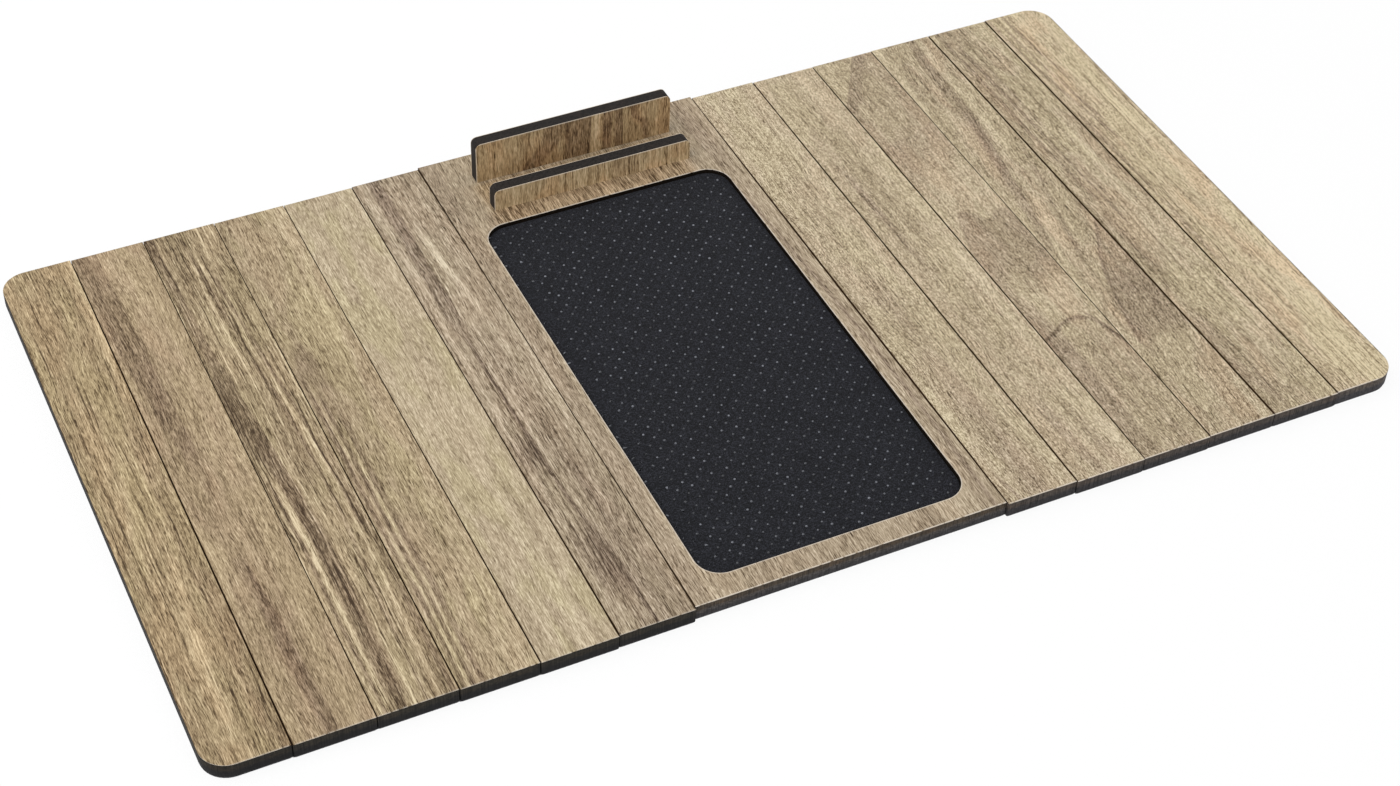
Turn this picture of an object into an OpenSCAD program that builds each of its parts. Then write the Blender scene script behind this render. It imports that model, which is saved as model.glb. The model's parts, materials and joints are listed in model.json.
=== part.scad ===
// Flexible sofa armrest tray. A wide centre panel lies on the arm of a sofa,
// and a row of narrow slats on each side folds down over the arm's flanks.
// Panel and slats are faced board on a fabric backing, which is the hinge
// between them. The panel has a sunk anti-slip inlay and a phone holder.
//
// +Z is up, +X runs along the row of slats and +Y to the back, where the phone
// holder stands. The origin is under the middle of the tray, at its underside.

/* [Tray] */
// Width of the centre panel, across the sofa's arm
panel_w = 147; // [130:1:200]
// Depth of the panel and of every slat, front to back
tray_d = 314; // [260:1:380]
// Width of one slat
slat_w = 34; // [24:1:44]
// Open seam between two neighbours
seam_gap = 0.4; // [0.3:0.1:1]
// Radius of the tray's four outer corners
outer_r = 12; // [4:1:20]
// How far the panel is set back from the foremost slats
panel_setback = 1.8; // [0:0.2:3]
// How far each slat lies behind the foremost ones, from the panel outwards. They
// are glued to the fabric by hand, so their ends don't quite line up.
slat_offsets = [0.5, 0, 0.2, 0.5, 0.5, 0.9];

/* [Boards] */
// Thickness of the faced board of panel and slats, with its facing
board_t = 7; // [5:0.5:9]
// Thickness of the printed facing
facing_t = 0.3; // [0.2:0.1:0.5]
// Thickness of the panel's lower board, which closes the window from below
base_t = 3.3; // [2:0.1:4]
// Thickness of the fabric backing
backing_t = 1; // [0.8:0.1:2]

/* [Inlay] */
// Wood left on each side of the window
rim_side = 10.5; // [6:0.5:20]
// Wood left in front of the window
rim_front = 12; // [6:0.5:30]
// Wood left between the window and the phone holder
rim_back = 10.6; // [6:0.2:30]
// Corner radius of the window
window_r = 11.5; // [4:0.5:20]
// Thickness of the anti-slip pad
pad_t = 1.8; // [0.8:0.1:2.4]
// Clearance round the pad in its window
pad_gap = 0.3; // [0.1:0.1:1]

/* [Phone holder] */
// Width of both holder boards
holder_w = 103; // [80:1:120]
// Height of the back board above the panel
back_h = 22.5; // [16:0.5:60]
// Height of the front board above the panel
front_h = 11.5; // [8:0.5:15]
// Thickness of both holder boards, with their facings
holder_t = 6.6; // [4:0.2:9]
// Radius of the holder boards' upper corners
holder_r = 3; // [1:0.5:6]
// Slot between the two boards, which takes the phone's edge
phone_gap = 16.6; // [10:0.2:24]
// Wood left behind the back board
holder_rear = 15.6; // [8:0.2:30]
// Width of each tab that plugs a holder board into the panel
tab_w = 20; // [12:1:28]
// Distance of a tab from the end of its board
tab_inset = 12; // [6:1:16]
// Clearance round a tab in its mortise
tab_gap = 0.1; // [0.05:0.05:0.3]

/* [Hidden] */
// A slat's side of the panel and its place in the row, 1 being next to the panel
LEFT = -1;
RIGHT = 1;
LAST_SLAT = 6;
$fn = 64;

board_z = backing_t;
base_top_z = board_z + base_t;
core_top_z = board_z + board_t - facing_t;
top_z = board_z + board_t;

slat_y = -panel_setback / 2;
panel_y = panel_setback / 2;
panel_front_y = panel_y - tray_d / 2;
panel_back_y = panel_y + tray_d / 2;

// The holder is set out from the back edge and the window from the holder
back_board_y = panel_back_y - holder_rear - holder_t;
front_board_y = back_board_y - phone_gap - holder_t;
window_front_y = panel_front_y + rim_front;
window_back_y = front_board_y - rim_back;
window_w = panel_w - 2 * rim_side;
window_d = window_back_y - window_front_y;
window_y = (window_front_y + window_back_y) / 2;

tab_h = top_z - base_top_z;
tab_outer_x = holder_w / 2 - tab_inset;
tab_inner_x = tab_outer_x - tab_w;

MDF = [0.16, 0.14, 0.13];
WOOD = [0.66, 0.58, 0.45];
OAK = [0.58, 0.47, 0.33];
FELT = [0.15, 0.15, 0.17];
PAD = [0.13, 0.13, 0.15];

// ---- outlines ----

// What is cut from a square corner to round it. The arc's centre is the origin
// and the corner points to x_side, y_side, each of them 1 or -1.
module corner_waste(x_side, y_side, r) {
    difference() {
        scale([x_side, y_side]) square(2 * r);
        circle(r);
    }
}

// A rectangle about the origin with round corners
module rounded_outline(w, d, r) {
    difference() {
        square([w, d], center = true);
        for (x_side = [-1, 1], y_side = [-1, 1])
            translate([x_side * (w / 2 - r), y_side * (d / 2 - r)])
                corner_waste(x_side, y_side, r);
    }
}

// The outline of one slat, seen from above. The last one in a row has the
// tray's two round corners.
module slat_outline(side, place) {
    near_x = panel_w / 2 + place * seam_gap + (place - 1) * slat_w;
    far_x = near_x + slat_w;
    translate([0, slat_y + slat_offsets[place - 1]]) difference() {
        translate([side * (near_x + far_x) / 2, 0]) square([slat_w, tray_d], center = true);
        if (place == LAST_SLAT)
            for (end = [-1, 1])
                translate([side * (far_x - outer_r), end * (tray_d / 2 - outer_r)])
                    corner_waste(side, end, outer_r);
    }
}

module panel_outline() {
    translate([0, panel_y]) square([panel_w, tray_d], center = true);
}

// The panel with its window and the four mortises of the phone holder
module panel_cut_outline() {
    difference() {
        panel_outline();
        translate([0, window_y]) rounded_outline(window_w, window_d, window_r);
        for (y = [front_board_y, back_board_y], side = [-1, 1])
            translate([side * (tab_inner_x + tab_outer_x) / 2, y + holder_t / 2])
                square([tab_w + 2 * tab_gap, holder_t + 2 * tab_gap], center = true);
    }
}

// A holder board seen from the front: round upper corners, and a tab near each
// end that goes down through the panel's top board to its base board
module holder_outline(h) {
    difference() {
        polygon([
            [-holder_w / 2, 0], [-holder_w / 2, h], [holder_w / 2, h], [holder_w / 2, 0],
            [tab_outer_x, 0], [tab_outer_x, -tab_h], [tab_inner_x, -tab_h], [tab_inner_x, 0],
            [-tab_inner_x, 0], [-tab_inner_x, -tab_h], [-tab_outer_x, -tab_h], [-tab_outer_x, 0]
        ]);
        for (side = [-1, 1])
            translate([side * (holder_w / 2 - holder_r), h - holder_r])
                corner_waste(side, 1, holder_r);
    }
}

// A layer of a holder board, from y towards the back
module holder_layer(h, y, thickness) {
    translate([0, y + thickness, top_z]) rotate([90, 0, 0])
        linear_extrude(thickness) holder_outline(h);
}

// ---- centre panel ----

module panel_top_board() {
    color(MDF) translate([0, 0, base_top_z])
        linear_extrude(core_top_z - base_top_z) panel_cut_outline();
}

module panel_base_board() {
    color(MDF) translate([0, 0, board_z]) linear_extrude(base_t) panel_outline();
}

module panel_facing() {
    color(WOOD) translate([0, 0, core_top_z]) linear_extrude(facing_t) panel_cut_outline();
}

module panel_backing() {
    color(FELT) linear_extrude(backing_t) panel_outline();
}

module anti_slip_pad() {
    color(PAD) translate([0, window_y, base_top_z]) linear_extrude(pad_t)
        rounded_outline(window_w - 2 * pad_gap, window_d - 2 * pad_gap, window_r - pad_gap);
}

// ---- phone holder ----

module holder_board(h, y) {
    color(MDF) holder_layer(h, y + facing_t, holder_t - 2 * facing_t);
}

module holder_facings(h, y) {
    color(OAK) {
        holder_layer(h, y, facing_t);
        holder_layer(h, y + holder_t - facing_t, facing_t);
    }
}

// ---- slats ----

module slat(side, place) {
    color(MDF) translate([0, 0, board_z])
        linear_extrude(core_top_z - board_z) slat_outline(side, place);
}

module facing(side, place) {
    color(WOOD) translate([0, 0, core_top_z])
        linear_extrude(facing_t) slat_outline(side, place);
}

module backing(side, place) {
    color(FELT) linear_extrude(backing_t) slat_outline(side, place);
}

panel_top_board();
panel_base_board();
panel_facing();
panel_backing();
anti_slip_pad();
holder_board(back_h, back_board_y);  // holder_back_board
holder_facings(back_h, back_board_y);  // holder_back_facings
holder_board(front_h, front_board_y);  // holder_front_board
holder_facings(front_h, front_board_y);  // holder_front_facings
slat(LEFT, 1);  // left_slat_1
slat(LEFT, 2);  // left_slat_2
slat(LEFT, 3);  // left_slat_3
slat(LEFT, 4);  // left_slat_4
slat(LEFT, 5);  // left_slat_5
slat(LEFT, 6);  // left_slat_6
facing(LEFT, 1);  // left_facing_1
facing(LEFT, 2);  // left_facing_2
facing(LEFT, 3);  // left_facing_3
facing(LEFT, 4);  // left_facing_4
facing(LEFT, 5);  // left_facing_5
facing(LEFT, 6);  // left_facing_6
backing(LEFT, 1);  // left_backing_1
backing(LEFT, 2);  // left_backing_2
backing(LEFT, 3);  // left_backing_3
backing(LEFT, 4);  // left_backing_4
backing(LEFT, 5);  // left_backing_5
backing(LEFT, 6);  // left_backing_6
slat(RIGHT, 1);  // right_slat_1
slat(RIGHT, 2);  // right_slat_2
slat(RIGHT, 3);  // right_slat_3
slat(RIGHT, 4);  // right_slat_4
slat(RIGHT, 5);  // right_slat_5
slat(RIGHT, 6);  // right_slat_6
facing(RIGHT, 1);  // right_facing_1
facing(RIGHT, 2);  // right_facing_2
facing(RIGHT, 3);  // right_facing_3
facing(RIGHT, 4);  // right_facing_4
facing(RIGHT, 5);  // right_facing_5
facing(RIGHT, 6);  // right_facing_6
backing(RIGHT, 1);  // right_backing_1
backing(RIGHT, 2);  // right_backing_2
backing(RIGHT, 3);  // right_backing_3
backing(RIGHT, 4);  // right_backing_4
backing(RIGHT, 5);  // right_backing_5
backing(RIGHT, 6);  // right_backing_6
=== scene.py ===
import json
import math
import random

import bmesh
import bpy
from mathutils import Matrix, Vector


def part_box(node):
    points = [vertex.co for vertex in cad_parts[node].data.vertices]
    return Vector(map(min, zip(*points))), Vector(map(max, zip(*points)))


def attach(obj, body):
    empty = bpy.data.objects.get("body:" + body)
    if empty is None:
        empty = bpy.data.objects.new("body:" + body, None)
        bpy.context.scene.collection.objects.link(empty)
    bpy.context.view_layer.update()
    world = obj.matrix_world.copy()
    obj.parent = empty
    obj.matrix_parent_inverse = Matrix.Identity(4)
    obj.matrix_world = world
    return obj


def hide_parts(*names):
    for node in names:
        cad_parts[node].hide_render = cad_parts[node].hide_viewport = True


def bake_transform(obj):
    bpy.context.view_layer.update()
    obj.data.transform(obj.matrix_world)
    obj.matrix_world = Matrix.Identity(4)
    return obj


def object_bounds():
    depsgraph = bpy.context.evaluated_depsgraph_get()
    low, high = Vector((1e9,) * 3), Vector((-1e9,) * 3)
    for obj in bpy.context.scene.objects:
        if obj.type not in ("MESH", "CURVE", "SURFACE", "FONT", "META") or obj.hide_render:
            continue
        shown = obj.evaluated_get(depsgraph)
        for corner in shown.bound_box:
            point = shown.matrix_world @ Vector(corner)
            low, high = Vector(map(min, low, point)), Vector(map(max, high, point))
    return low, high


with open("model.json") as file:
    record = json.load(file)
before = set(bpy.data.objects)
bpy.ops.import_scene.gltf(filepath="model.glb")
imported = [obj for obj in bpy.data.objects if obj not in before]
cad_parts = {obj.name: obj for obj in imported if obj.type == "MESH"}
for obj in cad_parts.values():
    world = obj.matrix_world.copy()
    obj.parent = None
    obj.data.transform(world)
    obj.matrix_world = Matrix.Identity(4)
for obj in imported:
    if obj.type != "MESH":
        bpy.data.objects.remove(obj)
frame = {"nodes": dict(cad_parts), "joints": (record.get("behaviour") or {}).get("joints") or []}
cad_low, cad_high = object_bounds()


# ---- The boards of panel and slats ----
# Fibreboard, cut with a laser: the cut edges are charred dark brown to black, with
# fine upright lines from the beam. Upper and lower board of the panel are glued.

MM = 0.001


def paint(red, green, blue):
    """A colour as it is written on screen, from 0 to 255, as Blender wants it."""
    linear = []
    for value in (red, green, blue):
        value /= 255
        linear.append(value / 12.92 if value <= 0.04045 else ((value + 0.055) / 1.055) ** 2.4)
    return (*linear, 1.0)


# Dark brown for the walls inside the window and the seams: painted shade
SHADED_GAP_WALL = paint(26, 16, 5)
BROWNER = (1.12, 1.04, 0.98, 1.0)
SOOTY = (0.15, 0.15, 0.15, 1.0)
CHAR_RELIEF = 0.12
MATT = 0.15
EASED_BOARD = 0.15
WELD_REACH = 0.001 * MM
ABOVE_GLUE, BELOW_GLUE = 0.7, 0.9
UPPER_BLEND = 0.5
PANEL_INSIDE = (70.0, 150.0)


class Shade:
    """A socket in a material's nodes. Sums on it add Math nodes."""

    def __init__(self, socket):
        self.socket = socket

    def node(self, kind, settings, inputs, output=0):
        """A new node: settings come first, then the values or links of its sockets."""
        tree = self.socket.id_data
        made = tree.nodes.new(kind)
        for name, value in settings.items():
            if name == "stops":
                ramp = made.color_ramp
                ramp.elements.remove(ramp.elements[1])
                ramp.elements[0].position, ramp.elements[0].color = value[0]
                for place, colour in value[1:]:
                    ramp.elements.new(place).color = colour
            elif name == "curve":
                points = made.mapping.curves[0].points
                points[0].location, points[1].location = value[0], value[-1]
                for place in value[1:-1]:
                    points.new(*place)
                made.mapping.update()
            else:
                setattr(made, name, value)
        for name, value in inputs.items():
            if isinstance(value, Shade):
                tree.links.new(value.socket, made.inputs[name])
            else:
                made.inputs[name].default_value = value
        return Shade(made.outputs[output])

    def math(self, operation, *others):
        """This value and others, put through one operation of the Math node."""
        return self.node("ShaderNodeMath", {"operation": operation}, dict(enumerate((self, *others))))

    def __add__(self, other):
        return self.math("ADD", other)

    def __sub__(self, other):
        return self.math("SUBTRACT", other)

    def __rsub__(self, other):
        return self.math("MULTIPLY_ADD", -1, other)

    def __mul__(self, other):
        return self.math("MULTIPLY", other)

    def __truediv__(self, other):
        return self.math("DIVIDE", other)

    __radd__ = __add__

    def rise(self, low, high):
        """0 up to low, 1 from high, and a smooth step between them."""
        return self.node(
            "ShaderNodeMapRange",
            {"interpolation_type": "SMOOTHSTEP"},
            {"Value": self, "From Min": low, "From Max": high},
        )

    def follow(self, *points):
        """A smooth curve of this value through points (value, result)."""
        points = sorted(points)
        first = points[0][0]
        span = points[-1][0] - first
        low = min(result for _, result in points)
        height = max(result for _, result in points) - low or 1.0
        curve = [((value - first) / span, (result - low) / height) for value, result in points]
        drawn = self.node("ShaderNodeFloatCurve", {"curve": curve}, {"Value": (self - first) / span})
        return drawn * height + low

    def ramp(self, *tones, tint=(1.0, 1.0, 1.0)):
        """The colours of tones (value, colour on screen) and between them, times a tint."""
        stops = []
        for value, colour in tones:
            stops.append((value, tuple(a * b for a, b in zip(paint(*colour), (*tint, 1.0)))))
        return self.node("ShaderNodeValToRGB", {"stops": stops}, {"Fac": self})


def mix_colours(factor, low, high):
    """The colour low where factor is 0 and high where it is 1."""
    return factor.node("ShaderNodeMix", {"data_type": "RGBA"}, {0: factor, 6: low, 7: high}, 2)


def tinted(colour, factor, tint):
    """The colour multiplied by a tint, as far as the factor says."""
    settings = {"data_type": "RGBA", "blend_type": "MULTIPLY"}
    return colour.node("ShaderNodeMix", settings, {0: factor, 6: colour, 7: tint}, 2)


def noise(across, along, up, detail=2.0, roughness=0.5):
    """Soft noise about 0.5. Its lumps are 1 unit wide in each of the three directions."""
    place = across.node("ShaderNodeCombineXYZ", {}, {0: across, 1: along, 2: up})
    return place.node(
        "ShaderNodeTexNoise",
        {},
        {"Vector": place, "Scale": 1.0, "Detail": detail, "Roughness": roughness},
    )


def start(name):
    """A new material, and a place on its piece in millimetres."""
    material = bpy.data.materials.new(name)
    material.use_nodes = True
    tree = material.node_tree
    place = Shade(tree.nodes.new("ShaderNodeTexCoord").outputs["Object"])
    split = place.node("ShaderNodeSeparateXYZ", {}, {0: place}).socket.node
    return material, [Shade(split.outputs[i]) / MM for i in range(3)]


def surface(material, height=None, depth=0.0, **values):
    """Sets the shader's sockets, and a bump from a height between 0 and 1 over depth in mm."""
    tree = material.node_tree
    shader = tree.nodes["Principled BSDF"]
    if height is not None:
        bump = {"Strength": 1.0, "Distance": depth * MM, "Height": height}
        values["Normal"] = height.node("ShaderNodeBump", {}, bump)
    for name, value in values.items():
        socket = shader.inputs[name.replace("_", " ")]
        if isinstance(value, Shade):
            tree.links.new(value.socket, socket)
        else:
            socket.default_value = value


def charred(name, seed, below, above, middle, blend=0.8, inside=None):
    """Charred fibreboard in two colours, which meet at a middle height in mm.

    The beam left upright lines. Where it burnt less, the upper colour turns browner. A
    window's or a seam's walls, that far inside the ends, get painted shade: they are darker than the outer
    edges.
    """
    material, (x, y, z) = start(name)
    lines = noise(x / 0.5 + seed, y / 0.5, z / 14.0)
    fibres = noise(x / 1.4 + seed, y / 1.4, z / 0.7, 3.0)
    patches = noise(x / 10.0 + seed, y / 10.0, z / 3.0).rise(0.44, 0.66)
    soot = (lines - 0.5) * 1.3 + (fibres - 0.5) * 0.9 + 0.5
    upper = (z + (fibres - 0.5) * 1.5).rise(middle - blend, middle + blend)
    bare = mix_colours(upper, paint(*below), paint(*above))
    bare = tinted(bare, patches * upper, BROWNER)
    # Painted shade: the walls of the window and of the seams get a dark brown colour
    if inside:
        at_side = x.math("ABSOLUTE").rise(inside[0] - 1, inside[0])
        at_end = y.math("ABSOLUTE").rise(inside[1] - 1, inside[1])
        bare = mix_colours(at_side.math("MAXIMUM", at_end), SHADED_GAP_WALL, bare)
    surface(
        material,
        lines * 0.6 + fibres * 0.4,
        CHAR_RELIEF,
        Base_Color=mix_colours(soot.rise(0.0, 1.0), tinted(bare, 1.0, SOOTY), bare),
        Roughness=soot * 0.25 + 0.62,
        Specular_IOR_Level=MATT,
    )
    return material


def dress(node, material, eased):
    """Gives a CAD node its one material, and takes so many mm off its sharp edges."""
    piece = frame["nodes"][node]
    piece.data.materials.clear()
    piece.data.materials.append(material)
    weld = piece.modifiers.new("closed", "WELD")
    weld.merge_threshold = WELD_REACH
    bevel = piece.modifiers.new("eased", "BEVEL")
    bevel.width = eased * MM
    bevel.segments = 2
    bevel.limit_method = "ANGLE"


glue_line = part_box("panel_base_board")[1].z / MM
middle = glue_line + ABOVE_GLUE
char = charred("charred_upper_board", 3.0, (106, 100, 96), (94, 83, 71), middle, UPPER_BLEND, PANEL_INSIDE)
dress("panel_top_board", char, EASED_BOARD)
char = charred("charred_lower_board", 41.0, (76, 74, 76), (98, 94, 92), glue_line - BELOW_GLUE)
dress("panel_base_board", char, EASED_BOARD)


# ---- The slats' cores ----
# The same board in one layer, six narrow strips on each side of the panel. The edges
# are darker below than above. A painted sheen makes the right row's edges lighter than
# the left row's, and the last strip of a row has its own colours, which push that painted sheen further.

SIDES = {"left": -1, "right": 1}
SLATS = range(1, 7)
LAST = SLATS[-1]
# Edge colours below and above: charred board, with a painted sheen that makes the right row lighter than the
# left
SLAT_EDGES_WITH_SHEEN = {
    ("left", False): ((43, 42, 43), (62, 58, 51)),
    ("left", True): ((40, 39, 40), (58, 54, 48)),
    ("right", False): ((69, 67, 69), (96, 88, 82)),
    ("right", True): ((82, 80, 83), (112, 104, 98)),
}
HALFWAY_UP = 4.4
SLAT_BLEND = 1.2
ROW_INSIDE = (262.0, 155.0)

for side, outwards in SIDES.items():
    for place in SLATS:
        board = f"{side}_slat_{place}"
        below, above = SLAT_EDGES_WITH_SHEEN[side, place == LAST]
        seed = 7.0 * place + 90 * outwards
        char = charred(f"charred_{board}", seed, below, above, HALFWAY_UP, SLAT_BLEND, ROW_INSIDE)
        dress(board, char, EASED_BOARD)


# ---- The printed facings of panel and slats ----
# Paper with a print of greyish brown wood, sealed with matt resin and pressed on the
# board. The grain runs from front to back. The laser scorched the paper along the cut.

WINDOW_CORNER = 11.2
PRINT_TONES = (
    (0.0, (66, 52, 37)),
    (0.25, (112, 96, 74)),
    (0.5, (158, 141, 115)),
    (0.75, (191, 174, 146)),
    (1.0, (226, 211, 182)),
)
PALE_PAPER = paint(220, 209, 194)
SCORCHED_PAPER = paint(54, 33, 2)
TOASTED_PAPER = paint(66, 40, 6)
ROSE = (1.04, 0.975, 0.94, 1.0)
OLIVE = (0.985, 1.005, 0.93, 1.0)
# Tint of the holder's painted reflection on the panel
REFLECTION_AMBER = (1.0, 0.93, 0.82, 1.0)
ASHEN = (0.985, 0.965, 1.03, 1.0)
ASHEN_SHARE = 4.5
PRINT_RELIEF = 0.05
EASED_FACING = 0.08
SMOOTH_FLECK = (0.42, 1.2, 1.6)
# How pale the front end turns on the right and the left row, frayed paper and a painted highlight, and how
# pale the window's rim turns
FRAY_AND_HIGHLIGHT, LEFT_FRAY_AND_HIGHLIGHT, WINDOW_FRAY = 0.85, 0.25, 0.7
FRAY_REACH = (0.3, 0.6)
WINDOW_CUT = (0.55, 0.9)
SCORCH_FADE = 0.3
BROAD_SIDE = (-0.07, -0.02)
LONG_SIDE = (0.02, 0.12)
LONGWAYS_SHIFT = 941.3
BACK, FRONT = 176.0, -176.0
top_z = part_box("panel_facing")[1].z / MM


def mark(lighter, *path, **shape):
    """A streak in the grain: how much lighter it is, and what streak() takes."""
    return lighter, dict(path=path, **shape)


def contour(lighter, reach, fade, *path):
    """A line across the grain through places (across, along) in mm.

    It is lighter by so much as far as it reaches in front of the line, and then fades.
    """
    return lighter, reach, fade, path


def streak(across, along, path, width=3.0, other=None, fades=(0.8, 0.8), tips=10.0):
    """A streak's mask. Its left side follows the path of places (along, across) in mm.

    Its right side follows the other path, or lies a width away. Each side fades
    outwards, and both ends of the path taper off.
    """
    left = along.follow(*path)
    right = along.follow(*other) if other else left + width
    sides = (across - left).rise(-fades[0], 0.0) * (1.0 - (across - right).rise(0.0, fades[1]))
    back, front = path[0][0], path[-1][0]
    ends = along.rise(front - tips, front + tips) * (1.0 - along.rise(back - tips, back + tips))
    return sides * ends


def grain(
    across,
    along,
    seed,
    tone,
    contrast=1.0,
    ticks=1.0,
    lines=0.6,
    lean=0.0,
    wander=3.0,
    fleck=(0.3, 2.8, 1.2),
    drawn=None,
    streaks=(),
    contours=(),
):
    """The print at a place in mm: its tone from 0 dark to 1 light, its pores, how ashen it is.

    Contrast is that of the soft bands, ticks that of the pores and lines that of the long
    threads. The fibres lean to the right by so many percent and wander by so many mm. A
    fleck is the fine speckle's width, length and strength. In the drawn stretch, a painted
    reflection of the holder's boards, the fibres stand out. Dark streaks and contours are more ashen than
    the rest.
    """
    length = along + LONGWAYS_SHIFT

    def layer(across, wide, long, height, *detail):
        """Noise with lumps that wide and long in mm. Each layer is cut at its own height."""
        return noise(across / wide + seed, length / long, height, *detail)

    drift = layer(across, 55.0, 90.0, seed, 1.0) - 0.5
    ripple = layer(across, 16.0, 24.0, 7.5, 1.0) - 0.5
    straight = across + drift * wander + ripple * 0.8
    fibre = across - along * (lean / 100.0) + drift * (2.0 * wander) + ripple * 1.6
    broad = layer(fibre, 9.0, 150.0, 1.5) - 0.5
    bands = layer(fibre, 2.0, 90.0, 2.5, 3.0, 0.62) - 0.5
    threads = layer(fibre, 0.85, 70.0, 5.5, 1.0)
    hairs = layer(fibre, 0.52, 12.0, 3.5, 2.0, 0.6) - 0.5
    frost = layer(fibre, fleck[0], fleck[1], 8.5, 1.0, 0.6) - 0.5
    patchy = layer(fibre, 8.0, 34.0, 6.5, 1.0)
    dashes = layer(fibre, 0.4, 4.5, 4.5, 0.0)
    pores = dashes.rise(0.57, 0.70) * patchy.rise(0.2, 0.6)
    glints = (1.0 - dashes).rise(0.60, 0.74)
    total = tone + broad * (0.42 * contrast) + bands * (0.46 * contrast) + hairs * 0.55 + frost * fleck[2]
    total = total - pores * (0.27 * ticks) + glints * (0.12 * ticks)
    total = total - threads.rise(0.58, 0.70) * (0.22 * lines)
    total = total + (1.0 - threads).rise(0.58, 0.72) * (0.18 * lines)
    # Painted reflection of the holder's boards: the fibres stand out more in that stretch
    if drawn:
        total = total + streak(straight, along, **drawn) * (bands * 0.8 + hairs * 0.9)

    ragged = straight + hairs * 0.9
    uneven = bands * 1.2 + 1.0
    masks = []
    for lighter, shape in streaks:
        mask = streak(ragged, along, **shape)
        total = total + mask * uneven * lighter
        masks.append((lighter, mask))
    for lighter, reach, fade, path in contours:
        off = straight.follow(*path) - along + frost * 2.5 + hairs * 2.0
        mask = off.rise(-0.4, 0.7) * (1.0 - off.rise(reach, reach + fade))
        total = total + mask * lighter
        masks.append((lighter, mask))
    ashen = sum(mask * (-ASHEN_SHARE * lighter) for lighter, mask in masks if lighter < 0)
    return total, pores, ashen


def window_rim(x, y):
    """1 along the cut round the window, whose corners are as round as its pad's."""
    low, high = (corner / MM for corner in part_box("anti_slip_pad"))
    middle = (low + high) / 2
    beside = (x - middle.x).math("ABSOLUTE") - ((high.x - low.x) / 2 - WINDOW_CORNER)
    beyond = (y - middle.y).math("ABSOLUTE") - ((high.y - low.y) / 2 - WINDOW_CORNER)
    beside = beside.math("MAXIMUM", 0.0)
    beyond = beyond.math("MAXIMUM", 0.0)
    off_pad = (beside * beside + beyond * beyond).math("SQRT") - WINDOW_CORNER
    return 1.0 - off_pad.rise(*WINDOW_CUT)


# How far in mm the scorch reaches at the back, halfway and in front: beside each seam,
# from the panel outwards, and along the row's end
SCORCH = {
    "left": [
        (0.45, -0.1, 0.25),
        (-0.03, -0.04, 0.26),
        (-0.2, -0.09, 0.05),
        (-0.35, -0.05, 0.02),
        (-0.16, -0.15, 0.05),
        (-0.03, 0.05, 0.15),
        (0.0, 0.0, 0.0),
    ],
    "right": [
        (-0.7, 0.22, -0.1),
        (0.0, 0.08, 0.1),
        (-0.16, 0.03, -0.15),
        (0.0, -0.15, 0.26),
        (0.1, 0.22, 0.24),
        (0.2, 0.17, 0.07),
        (0.1, 0.1, 0.1),
    ],
}


def scorched_sides(node):
    """The reach of the scorch along the left and the right side of a facing."""
    row, _, *place = node.split("_")
    if row == "panel":
        return SCORCH["left"][0], SCORCH["right"][0]
    inner, outer = SCORCH[row][int(place[0]) - 1 : int(place[0]) + 1]
    return (inner, outer) if row == "right" else (outer, inner)


def scorched(inwards, along, reaches):
    """1 where the paper is scorched, at so many mm inwards from its side."""
    reach = along.follow(*zip((BACK, 0.0, FRONT), reaches))
    return 1.0 - (inwards - reach).rise(0.0, SCORCH_FADE)


def finish_print(node, material, tone, pores, colour):
    """Dresses a facing in its print, which is slightly hollow at the pores."""
    surface(
        material,
        tone * 0.5 + 0.3 - pores * 0.3,
        PRINT_RELIEF,
        Base_Color=colour,
        Roughness=0.5 + pores * 0.2,
        Specular_IOR_Level=MATT,
    )
    dress(node, material, EASED_FACING)


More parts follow.
